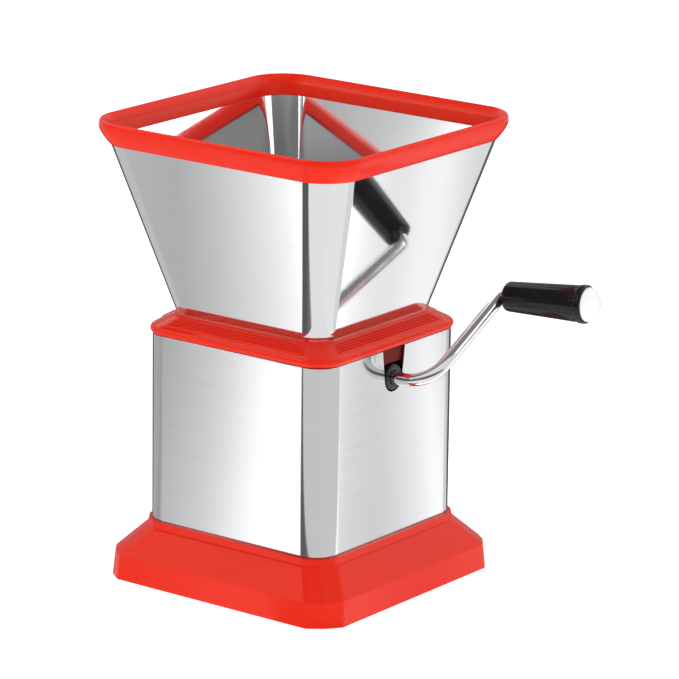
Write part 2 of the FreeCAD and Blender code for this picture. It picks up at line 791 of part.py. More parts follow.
def shaft_bushes():
    """Flanged plastic bushes that the crank shaft runs in."""
    near = new_body("crank_side_bush")
    revolve(near, "near_bush", [
        ("dims.throat_half", "dims.bush_bore"),
        ("dims.near_bush_face", "dims.bush_bore"),
        ("dims.near_bush_face", "dims.boss_radius"),
        ("dims.near_boss_reach", "dims.boss_radius"),
        ("dims.near_boss_reach", "dims.bush_radius"),
        ("dims.throat_half", "dims.bush_radius"),
    ])
    on_shaft(near)
    keep(near)
    far = new_body("far_side_bush")
    revolve(far, "far_bush", [
        ("-dims.far_boss_reach", "dims.bush_bore"),
        ("-dims.far_bush_face", "dims.bush_bore"),
        ("-dims.far_bush_face", "dims.far_bush_flange"),
        ("-dims.throat_half", "dims.far_bush_flange"),
        ("-dims.throat_half", "dims.bush_radius"),
        ("-dims.far_boss_reach", "dims.bush_radius"),
    ])
    on_shaft(far)
    keep(far)


# ---------------------------------------------------------------- crank and rotor

def crank_path(body):
    """The rod's centre line: shaft, elbow, arm, corner and spindle, in the body's XY plane."""
    sketch = new_sketch(body, "rod_centre_line")
    start = FreeCAD.Vector(-size("shaft_end"), 0, 0)
    elbow = FreeCAD.Vector(size("elbow_x"), 0, 0)
    corner = FreeCAD.Vector(size("grip_corner_x"), size("grip_corner_reach"), 0)
    tilt = math.radians(size("grip_tilt"))
    spindle = FreeCAD.Vector(math.cos(tilt), math.sin(tilt), 0)
    end = corner + spindle * size("spindle_length")
    arm = (corner - elbow).normalize()
    lean = math.atan2(arm.y, arm.x)

    elbow_tangent = size("elbow_bend") * math.tan(lean / 2)
    elbow_start = elbow - X_AXIS * elbow_tangent
    elbow_centre = elbow_start + Y_AXIS * size("elbow_bend")
    elbow_circle = Part.Circle(elbow_centre, Z_AXIS, size("elbow_bend"))
    corner_tangent = size("grip_bend") * math.tan((lean - tilt) / 2)
    corner_end = corner + spindle * corner_tangent
    corner_centre = corner_end + FreeCAD.Vector(spindle.y, -spindle.x, 0) * size("grip_bend")
    corner_circle = Part.Circle(corner_centre, Z_AXIS, size("grip_bend"))

    sketch.addGeometry(Part.LineSegment(start, elbow_start))
    sketch.addGeometry(Part.ArcOfCircle(elbow_circle, -math.pi / 2, lean - math.pi / 2))
    sketch.addGeometry(Part.LineSegment(elbow + arm * elbow_tangent, corner - arm * corner_tangent))
    sketch.addGeometry(Part.ArcOfCircle(corner_circle, tilt + math.pi / 2, lean + math.pi / 2))
    sketch.addGeometry(Part.LineSegment(corner_end, end))
    sketch.addGeometry(Part.Point(elbow), True)
    sketch.addGeometry(Part.Point(corner), True)

    sketch.addConstraint(Sketcher.Constraint("Tangent", 0, 2, 1, 1))
    sketch.addConstraint(Sketcher.Constraint("Tangent", 1, 2, 2, 1))
    sketch.addConstraint(Sketcher.Constraint("Tangent", 2, 2, 3, 2))
    sketch.addConstraint(Sketcher.Constraint("Tangent", 3, 1, 4, 1))
    for line, point in ((0, 5), (2, 5), (2, 6), (4, 6)):
        sketch.addConstraint(Sketcher.Constraint("PointOnObject", point, 1, line))
    pin(sketch, 0, 1, start, "-dims.shaft_end", "0")
    pin(sketch, 5, 1, elbow, "dims.elbow_x", "0")
    pin(sketch, 6, 1, corner, "dims.grip_corner_x", "dims.grip_corner_reach")
    bind(sketch, Sketcher.Constraint("Radius", 1, size("elbow_bend")), "dims.elbow_bend")
    bind(sketch, Sketcher.Constraint("Radius", 3, size("grip_bend")), "dims.grip_bend")
    bind(sketch, Sketcher.Constraint("Angle", 4, tilt), "dims.grip_tilt")
    length = Sketcher.Constraint("Distance", 6, 1, 4, 2, size("spindle_length"))
    bind(sketch, length, "dims.spindle_length")
    return sketch


def pin_hole(body):
    """The cross hole that the hub's drive pin passes through."""
    sketch = new_sketch(body, "pin_hole_circle")
    circle(sketch, "dims.pin_radius", "-dims.pin_place", "0")
    hole = pocket(body, sketch, "pin_hole")
    hole.Midplane = True


def crank_rod():
    """One round steel rod: rotor shaft, crank arm and grip spindle."""
    body = new_body("crank_rod")
    path = crank_path(body)
    section = new_sketch(body, "rod_section", "YZ_Plane", "-dims.shaft_end")
    circle(section, "dims.rod_radius")
    sweep = body.newObject("PartDesign::AdditivePipe", "bent_rod")
    sweep.Profile = section
    sweep.Spine = (path, [])
    pin_hole(body)
    on_shaft(body, "dims.crank_angle")
    keep(body)


def hexagon(sketch, radius):
    corners = []
    half_height = f"{radius} * sqrt(3) / 2"
    for across, up in ((1, 0), (0.5, 1), (-0.5, 1), (-1, 0), (-0.5, -1), (0.5, -1)):
        corners.append((f"{across} * {radius}", f"{up} * {half_height}"))
    polygon(sketch, corners)


def rotor_hub():
    """Six-sided hub pinned to the shaft; the stars are pressed onto it."""
    body = new_body("rotor_hub")
    outline = new_sketch(body, "hub_hexagon", "YZ_Plane", "-dims.hub_half_length")
    hexagon(outline, "dims.hub_radius")
    pad(body, outline, "hexagonal_bar", "2 * dims.hub_half_length")
    bore = new_sketch(body, "shaft_circle", "YZ_Plane")
    circle(bore, "dims.rod_radius")
    hole = pocket(body, bore, "shaft_bore")
    hole.Midplane = True
    pin_hole(body)
    on_shaft(body, "dims.crank_angle")
    keep(body)


def hub_drive_pin():
    body = new_body("hub_drive_pin")
    end = "dims.hub_radius * sqrt(3) / 2"
    sketch = new_sketch(body, "pin_circle", offset=f"-{end}")
    circle(sketch, "dims.pin_radius", "-dims.pin_place", "0")
    pad(body, sketch, "pin", f"2 * {end}")
    on_shaft(body, "dims.crank_angle")
    keep(body)


def tooth_outline(sketch):
    """A hooked finger, from inside the star's root ring to its reach, as radius and angle."""
    root = size("star_root") - TOOTH_OVERLAP
    reach = size("star_reach")
    waist = (root + reach) / 2
    hook = ((root, -20), (waist, -8), (reach, 0), (reach, 7), (waist, 15), (root, 30))
    points = []
    for radius, angle in hook:
        turn = math.radians(angle)
        points.append(FreeCAD.Vector(radius * math.cos(turn), radius * math.sin(turn), 0))
    for number, point in enumerate(points):
        sketch.addGeometry(Part.LineSegment(point, points[(number + 1) % len(points)]))
    for number in range(len(points)):
        following = (number + 1) % len(points)
        sketch.addConstraint(Sketcher.Constraint("Coincident", number, 2, following, 1))
        sketch.addConstraint(Sketcher.Constraint("Block", number))


def rotor_star(number):
    """Three-toothed steel disc that pushes food between two blades of each comb."""
    body = new_body(f"rotor_star_{number}")
    middle = f"({number} - {(STAR_COUNT + 1) / 2}) * dims.blade_pitch"
    side = f"{middle} - dims.star_sheet / 2"
    ring = new_sketch(body, "root_circle", "YZ_Plane", side)
    circle(ring, "dims.star_root")
    pad(body, ring, "root_ring", "dims.star_sheet")
    outline = new_sketch(body, "tooth_outline", "YZ_Plane", side)
    tooth_outline(outline)
    tooth = pad(body, outline, "tooth", "dims.star_sheet")
    teeth = body.newObject("PartDesign::PolarPattern", "teeth")
    teeth.Originals = [tooth]
    teeth.Axis = (origin_feature(body, "X_Axis"), [""])
    teeth.Angle = 360
    teeth.Occurrences = STAR_TEETH
    body.Tip = teeth
    hole = new_sketch(body, "hub_hexagon", "YZ_Plane", side)
    hexagon(hole, "dims.hub_radius")
    pocket(body, hole, "hub_hole", "dims.star_sheet")
    flip = 180 / STAR_TEETH * (number % 2)
    on_shaft(body, f"dims.crank_angle + {flip}")
    keep(body)


def ring_on(place, name, start, sheet_thickness, radius, bore="dims.rod_radius"):
    """A flat washer or push-on nut round the X axis."""
    body = new_body(name)
    revolve(body, f"{name}_ring", [
        (start, bore),
        (f"{start} + {sheet_thickness}", bore),
        (f"{start} + {sheet_thickness}", radius),
        (start, radius),
    ])
    place(body)
    keep(body)


def on_turned_shaft(body):
    on_shaft(body, "dims.crank_angle")


def shaft_rings():
    ring_on(on_turned_shaft, "thrust_washer", "dims.thrust_washer_start",
            "dims.thrust_washer_sheet", "dims.thrust_washer_radius")
    ring_on(on_turned_shaft, "shaft_washer", "-dims.shaft_washer_start - dims.washer_sheet",
            "dims.washer_sheet", "dims.shaft_washer_radius")
    ring_on(on_turned_shaft, "shaft_push_nut", "-dims.push_nut_start - dims.push_nut_sheet",
            "dims.push_nut_sheet", "dims.push_nut_radius")


# ---------------------------------------------------------------- grip

def handle_grip():
    """Tapered grip, flared at its outer end, with a pocket for the nut and the cap."""
    body = new_body("handle_grip")
    root = quarter_round(("dims.grip_start", "dims.grip_face_radius"),
                         ("dims.grip_root_end", "dims.grip_root_radius"), GRIP_ROOT_STEPS)
    revolve(body, "grip", [("dims.grip_start", "dims.grip_bore")] + root + [
        ("dims.grip_waist_end", "dims.grip_waist_radius"),
        ("dims.grip_body_end", "dims.grip_body_radius"),
        ("dims.grip_flare_start", "dims.grip_body_radius"),
        ("dims.grip_flare_start + dims.grip_flare_edge", "dims.grip_flare_radius"),
        ("dims.grip_end - dims.grip_flare_edge", "dims.grip_flare_radius"),
        ("dims.grip_end", "dims.grip_flare_radius - dims.grip_flare_edge"),
        ("dims.grip_end", "dims.grip_pocket_radius"),
        ("dims.grip_pocket_floor", "dims.grip_pocket_radius"),
        ("dims.grip_pocket_floor", "dims.grip_bore"),
    ])
    on_spindle(body)
    keep(body)


def grip_end_cap():
    """Domed cap whose plug is pressed into the grip's pocket."""
    body = new_body("grip_end_cap")
    tip = ("dims.grip_end + dims.cap_dome", "0")
    edge = ("dims.grip_end", "dims.cap_radius")
    dome = quarter_round(tip, edge, CAP_STEPS, CAP_FULLNESS)
    revolve(body, "cap", [
        ("dims.cap_plug_start", "0"),
        ("dims.cap_plug_start", "dims.grip_pocket_radius"),
        ("dims.grip_end", "dims.grip_pocket_radius"),
    ] + list(reversed(dome)))
    on_spindle(body)
    keep(body)


# ---------------------------------------------------------------- assembly and output

def check_document():
    """Stops on any failed object, any cut that removed nothing, and any unsound sub-part."""
    for item in doc.Objects:
        if "Invalid" in item.State or "Error" in item.State:
            raise RuntimeError(f"{item.Label} failed: {item.State}")
        if item.TypeId in ("PartDesign::Pocket", "PartDesign::SubtractiveLoft"):
            if item.Shape.Volume > item.BaseFeature.Shape.Volume - SMALLEST_CUT:
                raise RuntimeError(f"{item.Label} in {item.getParent().Label} cut nothing")
    for part in nodes:
        if part.Shape.isNull() or not part.Shape.isValid() or not part.Shape.Solids:
            raise RuntimeError(f"{part.Label} has no sound solid")


base_skirt()
container_sleeve()
container_floor()
base_screws()
funnel = hopper()
hopper_rim(funnel)
collar()
cutter_cradle()
cradle_screws()
blade_comb("front_blade_comb", 0)
blade_comb("back_blade_comb", 180)
comb_rivets()
shaft_bushes()
crank_rod()
rotor_hub()
hub_drive_pin()
for star in range(1, STAR_COUNT + 1):
    rotor_star(star)
shaft_rings()
ring_on(on_spindle, "grip_push_nut", "dims.grip_nut_start", "dims.push_nut_sheet",
        "dims.grip_nut_radius")
handle_grip()
grip_end_cap()

doc.recompute()
check_document()
os.makedirs("parts", exist_ok=True)
for part in nodes:
    part.Shape.exportStep(f"parts/{part.Label}.step")
    print(part.Label, round(part.Shape.Volume, 1), len(part.Shape.Solids))
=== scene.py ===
import json
import math

import bmesh
import bpy
from mathutils import Matrix, Vector


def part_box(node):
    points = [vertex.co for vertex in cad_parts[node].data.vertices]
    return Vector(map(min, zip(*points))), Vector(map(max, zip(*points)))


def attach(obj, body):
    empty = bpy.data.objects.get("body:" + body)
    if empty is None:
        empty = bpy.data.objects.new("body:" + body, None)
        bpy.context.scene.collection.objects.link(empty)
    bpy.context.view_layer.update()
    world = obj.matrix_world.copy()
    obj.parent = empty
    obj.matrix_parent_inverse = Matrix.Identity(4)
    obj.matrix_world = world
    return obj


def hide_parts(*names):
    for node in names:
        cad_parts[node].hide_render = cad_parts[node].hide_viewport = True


# Hand-cranked vegetable cutter: the visible pieces are rebuilt here as fine meshes in the places
# that the CAD gives, and every piece gets a procedural material.  All lengths are in metres.

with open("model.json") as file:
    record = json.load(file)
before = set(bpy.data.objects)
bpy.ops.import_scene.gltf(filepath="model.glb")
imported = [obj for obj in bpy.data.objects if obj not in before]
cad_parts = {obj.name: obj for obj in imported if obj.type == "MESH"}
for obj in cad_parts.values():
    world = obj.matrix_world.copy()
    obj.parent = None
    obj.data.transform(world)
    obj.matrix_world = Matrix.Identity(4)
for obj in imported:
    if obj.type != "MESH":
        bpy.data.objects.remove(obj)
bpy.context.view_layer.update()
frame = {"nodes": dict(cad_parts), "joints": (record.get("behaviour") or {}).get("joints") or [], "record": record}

MM = 0.001
X_AXIS = Vector((1, 0, 0))
BENDS = 16          # segments in each rounded corner of a square outline
FINE_BENDS = 24     # the same for the steel sheet and the rim
KNEE_STEPS = 4      # segments in each rounded knee of a ridged outline
QUARTER_SPINS = [Matrix.Rotation(quarter * math.pi / 2, 3, "Z") for quarter in range(4)]

joints = {joint["name"]: joint for joint in frame["joints"]}
shaft_point = Vector(joints["crank_turn"]["pos_m"])
corner_point = Vector(joints["grip_spin"]["pos_m"])
spindle_axis = Vector(joints["grip_spin"]["axis"]).normalized()


# ---------------------------------------------------------------- mesh helpers

def square_loop(half, corner, height, sides=1, bends=BENDS):
    """Points round a square with rounded corners, anticlockwise seen from above."""
    arm = half - corner
    points = []
    for spin in QUARTER_SPINS:
        for step in range(sides):
            points.append(spin @ Vector((half, -arm + 2 * arm * step / sides, height)))
        for step in range(bends):
            turn = step / bends * math.pi / 2
            across = arm + corner * math.cos(turn)
            along = arm + corner * math.sin(turn)
            points.append(spin @ Vector((across, along, height)))
    return points


def new_object(name, vertices, faces):
    """A mesh object in the scene."""
    mesh = bpy.data.meshes.new(name)
    mesh.from_pydata([tuple(point) for point in vertices], [], faces)
    mesh.validate()
    mesh.update()
    piece = bpy.data.objects.new(name, mesh)
    bpy.context.scene.collection.objects.link(piece)
    return piece


def skin(name, loops, ring=False, first_cap=False, last_cap=False):
    """Joins loops of equal length with quads; a ring also joins the last loop to the first."""
    count = len(loops[0])
    vertices = [point for loop in loops for point in loop]
    faces = []
    pairs = len(loops) if ring else len(loops) - 1
    for number in range(pairs):
        low = number * count
        high = (number + 1) % len(loops) * count
        for step in range(count):
            following = (step + 1) % count
            faces.append((low + step, low + following, high + following, high + step))
    if first_cap:
        faces.append(tuple(reversed(range(count))))
    if last_cap:
        start = (len(loops) - 1) * count
        faces.append(tuple(range(start, start + count)))
    return new_object(name, vertices, faces)


def face_outward(piece):
    """Turns every face of a closed piece outward."""
    shell = bmesh.new()
    shell.from_mesh(piece.data)
    bmesh.ops.recalc_face_normals(shell, faces=shell.faces)
    shell.to_mesh(piece.data)
    shell.free()


def bake_modifiers(piece):
    """Turns a piece's modifiers into plain mesh."""
    graph = bpy.context.evaluated_depsgraph_get()
    mesh = bpy.data.meshes.new_from_object(piece.evaluated_get(graph))
    piece.modifiers.clear()
    piece.data = mesh


def soften(piece, width=0.0, segments=3, limit=25):
    """Rounds the sharp edges and gives the flats even normals."""
    piece.data.polygons.foreach_set("use_smooth", [True] * len(piece.data.polygons))
    if width:
        bevel = piece.modifiers.new("edges", "BEVEL")
        bevel.width = width
        bevel.segments = segments
        bevel.limit_method = "ANGLE"
        bevel.angle_limit = math.radians(limit)
        bevel.use_clamp_overlap = True
    weighted = piece.modifiers.new("normals", "WEIGHTED_NORMAL")
    weighted.keep_sharp = True
    bake_modifiers(piece)
    piece.data.polygons.foreach_set("use_smooth", [True] * len(piece.data.polygons))


def cut_with(piece, tools):
    """Removes each tool's volume from the piece, then the tools themselves."""
    for tool in tools:
        cutter = piece.modifiers.new("cut", "BOOLEAN")
        cutter.operation = "DIFFERENCE"
        cutter.solver = "EXACT"
        cutter.object = tool
    bake_modifiers(piece)
    for tool in tools:
        bpy.data.objects.remove(tool)


def prism(name, outline, direction):
    """A closed block: an outline of points pushed along a direction."""
    count = len(outline)
    vertices = list(outline) + [point + direction for point in outline]
    faces = [tuple(reversed(range(count))), tuple(range(count, 2 * count))]
    for step in range(count):
        following = (step + 1) % count
        faces.append((step, following, count + following, count + step))
    block = new_object(name, vertices, faces)
    face_outward(block)
    return block


def axis_frame(origin, axis, side):
    """Matrix whose X runs along axis, with its Y in the plane of axis and side."""
    along = axis.normalized()
    across = (side - along * side.dot(along)).normalized()
    third = along.cross(across)
    matrix = Matrix((along, across, third)).transposed().to_4x4()
    matrix.translation = origin
    return matrix


def turned(name, profile, place, segments=64):
    """A turned piece: (along, radius) points round the X axis of place; radius 0 closes an end."""
    vertices = []
    rings = []
    for along, radius in profile:
        if radius == 0:
            rings.append([len(vertices)])
            vertices.append(place @ Vector((along, 0, 0)))
            continue
        rings.append(list(range(len(vertices), len(vertices) + segments)))
        for step in range(segments):
            turn = 2 * math.pi * step / segments
            point = Vector((along, radius * math.cos(turn), radius * math.sin(turn)))
            vertices.append(place @ point)
    faces = []
    hollow = len(rings[0]) > 1
    last = len(rings) if hollow else len(rings) - 1
    for number in range(last):
        low = rings[number]
        high = rings[(number + 1) % len(rings)]
        for step in range(segments):
            following = (step + 1) % segments
            corners = [low[step % len(low)], low[following % len(low)],
                       high[following % len(high)], high[step % len(high)]]
            face = list(dict.fromkeys(corners))
            if len(face) > 2:
                faces.append(tuple(reversed(face)))
    return new_object(name, vertices, faces)


def arc(centre, radius, start, end, steps=8):
    """Points of an arc in a flat profile, with angles in degrees."""
    points = []
    for step in range(steps + 1):
        turn = math.radians(start + (end - start) * step / steps)
        points.append((centre[0] + radius * math.cos(turn), centre[1] + radius * math.sin(turn)))
    return points


def quarter_turns(steps):
    """Angles from 0 to 90 degrees in radians, with both ends."""
    return [step / steps * math.pi / 2 for step in range(steps + 1)]


def bent_path(points, radii, steps=16):
    """A line through points whose inner corners are arcs with these radii."""
    path = [points[0]]
    for before, knee, after, radius in zip(points, points[1:], points[2:], radii):
        backward = (before - knee).normalized()
        forward = (after - knee).normalized()
        half_angle = backward.angle(forward) / 2
        centre = knee + (backward + forward).normalized() * (radius / math.sin(half_angle))
        start = knee + backward * (radius / math.tan(half_angle)) - centre
        end = knee + forward * (radius / math.tan(half_angle)) - centre
        sweep = start.angle(end)
        for step in range(steps + 1):
            share = step / steps
            mixed = (start * math.sin((1 - share) * sweep) + end * math.sin(share * sweep))
            path.append(centre + mixed / math.sin(sweep))
    path.append(points[-1])
    return path


def ridged_loop(half, corner, ridge, height, knee=4 * MM):
    """Points round a square whose flattened corners have a ridge, with every knee rounded."""
    arm = half - corner
    tip = half - corner / 2 + ridge
    outline = [Vector((half, -arm, height)), Vector((half, arm, height)), Vector((tip, tip, height)),
               Vector((arm, half, height)), Vector((-arm, half, height))]
    knees = bent_path(outline, [knee] * 3, KNEE_STEPS)[1:-1]
    points = []
    for spin in QUARTER_SPINS:
        points += [spin @ point for point in knees]
    return points[-1:] + points[:-1]


def round_bar(name, path, radius, chamfer, flat_normal, segments=40):
    """A round bar along a flat path, with chamfered ends."""
    tangents = []
    for number in range(len(path)):
        before = path[max(number - 1, 0)]
        after = path[min(number + 1, len(path) - 1)]
        tangents.append((after - before).normalized())
    stations = [
        (path[0], tangents[0], radius - chamfer),
        (path[0] + tangents[0] * chamfer, tangents[0], radius),
    ]
    for point, tangent in list(zip(path, tangents))[1:-1]:
        stations.append((point, tangent, radius))
    stations.append((path[-1] - tangents[-1] * chamfer, tangents[-1], radius))
    stations.append((path[-1], tangents[-1], radius - chamfer))
    loops = []
    for point, tangent, reach in stations:
        across = tangent.cross(flat_normal)
        loop = []
        for step in range(segments):
            turn = 2 * math.pi * step / segments
            loop.append(point + (across * math.cos(turn) + flat_normal * math.sin(turn)) * reach)
        loops.append(loop)
    bar = skin(name, loops, first_cap=True, last_cap=True)
    face_outward(bar)
    return bar


# ---------------------------------------------------------------- material helpers

class Graph:
    """A material and short ways to add and join its nodes."""

    def __init__(self, name):
        self.material = bpy.data.materials.new(name)
        self.material.use_nodes = True
        self.tree = self.material.node_tree
        self.shader = self.tree.nodes["Principled BSDF"]
        self.place = self.node("ShaderNodeTexCoord").outputs["Object"]

    def node(self, kind, **values):
        """Adds a node and sets its inputs; _ stands for a space in an input's name."""
        made = self.tree.nodes.new(kind)
        for key, value in values.items():
            made.inputs[key.replace("_", " ")].default_value = value
        return made

    def join(self, source, target):
        self.tree.links.new(source, target)

    def set(self, **values):
        """Sets the shader's own inputs."""
        for key, value in values.items():
            self.shader.inputs[key.replace("_", " ")].default_value = value

    def noise(self, scale, stretch=(1, 1, 1), detail=4.0, roughness=0.5):
        """Noise over the object, stretched along the axes whose factor is small."""
        mapping = self.node("ShaderNodeMapping")
        mapping.inputs["Scale"].default_value = stretch
        self.join(self.place, mapping.inputs["Vector"])
        made = self.node("ShaderNodeTexNoise", Scale=scale, Detail=detail, Roughness=roughness)
        self.join(mapping.outputs["Vector"], made.inputs["Vector"])
        return made.outputs["Fac"]

    def spread(self, source, low, high, from_low=0.3, from_high=0.7):
        """Maps a noise value to the range low to high."""
        made = self.node("ShaderNodeMapRange")
        made.inputs["From Min"].default_value = from_low
        made.inputs["From Max"].default_value = from_high
        made.inputs["To Min"].default_value = low
        made.inputs["To Max"].default_value = high
        self.join(source, made.inputs["Value"])
        return made.outputs["Result"]

    def blend_colours(self, share, first, second):
        """A colour between first (share 0) and second (share 1)."""
        made = self.tree.nodes.new("ShaderNodeMix")
        made.data_type = "RGBA"
        colour_inputs = [item for item in made.inputs if item.type == "RGBA"]
        for socket, colour in zip(colour_inputs, (first, second)):
            socket.default_value = (*colour, 1)
        self.join(share, made.inputs[0])
        return next(item for item in made.outputs if item.type == "RGBA")

    def relief(self, height, depth, strength=1.0, below=None):
        """Bump from a height map; depth is in metres."""
        made = self.node("ShaderNodeBump", Strength=strength, Distance=depth)
        self.join(height, made.inputs["Height"])
        if below is not None:
            self.join(below, made.inputs["Normal"])
        self.join(made.outputs["Normal"], self.shader.inputs["Normal"])
        return made.outputs["Normal"]


def moulded_plastic(name, light, dark, roughness, shine=0.3, tint=(1, 1, 1)):
    """Injection-moulded plastic: slight tone drift, an uneven gloss and a very fine grain."""
    graph = Graph(name)
    drift = graph.noise(14.0, detail=3.0)
    graph.join(graph.blend_colours(drift, light, dark), graph.shader.inputs["Base Color"])
    gloss = graph.noise(45.0, detail=5.0)
    graph.join(graph.spread(gloss, roughness - 0.05, roughness + 0.07, from_low=0.0, from_high=1.0),
               graph.shader.inputs["Roughness"])
    graph.relief(graph.noise(900.0, detail=2.0), 0.000003, 0.4)
    graph.set(Specular_IOR_Level=shine, Specular_Tint=(*tint, 1))
    return graph.material


def sheet_steel(name, tone, roughness, streaks, streak_scale, depth, contrast=0.02):
    """Stainless sheet: fine parallel grain, faint clouds in the polish and long soft ripples."""
    graph = Graph(name)
    grain = graph.noise(streak_scale, stretch=streaks, detail=6.0, roughness=0.6)
    bright = tuple(channel * (1 + contrast) for channel in tone)
    dull = tuple(channel * (1 - contrast) for channel in tone)
    graph.join(graph.blend_colours(graph.spread(grain, 0.0, 1.0), dull, bright),
               graph.shader.inputs["Base Color"])
    added = graph.node("ShaderNodeMath")
    added.operation = "ADD"
    clouds = graph.noise(16.0, detail=3.0)
    graph.join(graph.spread(grain, roughness * 0.85, roughness * 1.15), added.inputs[0])
    graph.join(graph.spread(clouds, -0.1 * roughness, 0.1 * roughness), added.inputs[1])
    graph.join(added.outputs["Value"], graph.shader.inputs["Roughness"])
    ripples = graph.relief(graph.noise(9.0, detail=1.0), 0.0001, 0.3)
    graph.relief(grain, depth, 0.5, below=ripples)
    graph.set(Metallic=1.0)
    return graph.material


def build_materials():
    """One material for each slot of the record; steel grain runs along its small factors."""
    across = (0.03, 0.03, 1.0)
    upward = (1.0, 1.0, 0.03)
    lengthways = (0.04, 1.0, 1.0)
    every_way = (1.0, 1.0, 1.0)
    warm = (1.0, 0.7, 0.5)
    return {
        "red_plastic": moulded_plastic(
            "red_plastic", (0.80, 0.018, 0.005), (0.77, 0.014, 0.004), 0.24, tint=warm),
        # The darker red is partly the cradle's own colour and partly painted shade: it is made darker so the
        # inside of the slot looks shadowed.
        "dark_red_plastic": moulded_plastic(
            "dark_red_plastic", (0.16, 0.005, 0.004), (0.11, 0.004, 0.003), 0.34, 0.15, warm),
        "black_plastic": moulded_plastic(
            "black_plastic", (0.008, 0.008, 0.009), (0.005, 0.005, 0.006), 0.15, shine=0.45),
        "white_plastic": moulded_plastic(
            "white_plastic", (0.92, 0.92, 0.92), (0.88, 0.88, 0.87), 0.24, shine=0.5),
        "tray_plastic": moulded_plastic(
            "tray_plastic", (0.82, 0.82, 0.80), (0.76, 0.76, 0.74), 0.45),
        "brushed_steel": sheet_steel(
            "brushed_steel", (0.645, 0.648, 0.658), 0.09, across, 700.0, 0.000002),
        "hopper_steel": sheet_steel(
            "hopper_steel", (0.90, 0.903, 0.912), 0.06, across, 500.0, 0.000001, contrast=0.012),
        "bright_steel": sheet_steel(
            "bright_steel", (0.92, 0.92, 0.93), 0.06, lengthways, 500.0, 0.000001),
        "blade_steel": sheet_steel(
            "blade_steel", (0.60, 0.605, 0.61), 0.20, upward, 800.0, 0.000006, contrast=0.05),
        "fastener_steel": sheet_steel(
            "fastener_steel", (0.56, 0.56, 0.57), 0.24, every_way, 500.0, 0.000006, contrast=0.05),
    }


materials = build_materials()


def place_piece(piece, body, slot, *nodes):
    """Gives a new piece its material and body, and lets it stand for its CAD nodes."""
    piece.data.materials.clear()
    piece.data.materials.append(materials[slot])
    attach(piece, body)
    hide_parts(*nodes)


# ---------------------------------------------------------------- container

def build_base():
    """Flared base: a well for the container inside, four ridged corners and screw recesses."""
    _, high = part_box("base_skirt")
    half = high.x
    corner_ridge = 0.9 * MM
    well = 54.8 * MM
    well_corner = 13.0 * MM
    seat = 56.4 * MM
    seat_corner = 13.5 * MM
    floor_height = 5.5 * MM
    groove_top = 20.2 * MM

    def ridged(inset, corner, height):
        """Inset from the foot, corner width and height, in millimetres."""
        return ridged_loop(half - inset * MM, corner * MM, corner_ridge, height * MM)

    def square(width, bend, height):
        return square_loop(width, bend, height, bends=3 * KNEE_STEPS + 2)

    loops = [
        square(seat, seat_corner, 0),
        square(seat, seat_corner, groove_top),
        ridged(11.4, 10.5, groove_top / MM),
        ridged(4.0, 11.5, 11.4),
        ridged(3.0, 11.5, 0),
        ridged(0, 12.5, 0),
        ridged(1.0, 12.5, 12.2),
        ridged(12.1, 11.5, 24.6),
        ridged(13.0, 10.5, 24.9),
        ridged(13.4, 10.5, high.z / MM),
        square(well, well_corner, high.z),
        square(well, well_corner, floor_height),
    ]
    base = skin("base_skirt_moulding", loops, first_cap=True, last_cap=True)
    cut_with(base, screw_recesses())
    soften(base, 0.7 * MM, segments=4, limit=14)
    place_piece(base, "container", "red_plastic", "base_skirt")


def screw_recesses():
    """Round tools that sink the four screw heads into the base's underside."""
    screw_place = 38.0 * MM
    radius = 3.2 * MM
    start = -1.0 * MM
    depth = 3.4 * MM
    recesses = []
    for right in (-screw_place, screw_place):
        for back in (-screw_place, screw_place):
            circle = arc((right, back), radius, 0, 352.5, 47)
            outline = [Vector((x, y, start)) for x, y in circle]
            recesses.append(prism("recess", outline, Vector((0, 0, depth))))
    return recesses


def build_sleeve():
    """Square steel tube with a flange under the tray and an open-topped slot for the shaft."""
    low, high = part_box("container_sleeve")
    half = high.x
    corner = 13.0 * MM
    sheet = 0.9 * MM
    flange = 46.0 * MM
    flange_corner = 6.0 * MM

    def level(width, bend, height):
        return square_loop(width, bend, height, bends=FINE_BENDS)

    loops = [
        level(flange, flange_corner, low.z),
        level(half, corner, low.z),
        level(half, corner, high.z),
        level(half - sheet, corner - sheet, high.z),
        level(half - sheet, corner - sheet, low.z + sheet),
        level(flange, flange_corner, low.z + sheet),
    ]
    sleeve = skin("container_sleeve_sheet", loops, ring=True)
    slot_half = 6.9 * MM
    slot_top_half = 8.6 * MM
    overrun = 5 * MM
    flat_outline = arc((0, shaft_point.z), slot_half, 180, 360, 32)
    flat_outline += [(slot_top_half, high.z), (slot_top_half, high.z + overrun),
                     (-slot_top_half, high.z + overrun), (-slot_top_half, high.z)]
    outline = [Vector((half - overrun, across, up)) for across, up in flat_outline]
    cut_with(sleeve, [prism("slot", outline, X_AXIS * 2 * overrun)])
    soften(sleeve, 0.2 * MM, segments=2, limit=40)
    place_piece(sleeve, "container", "brushed_steel", "container_sleeve")


# ---------------------------------------------------------------- hopper, rim and collar

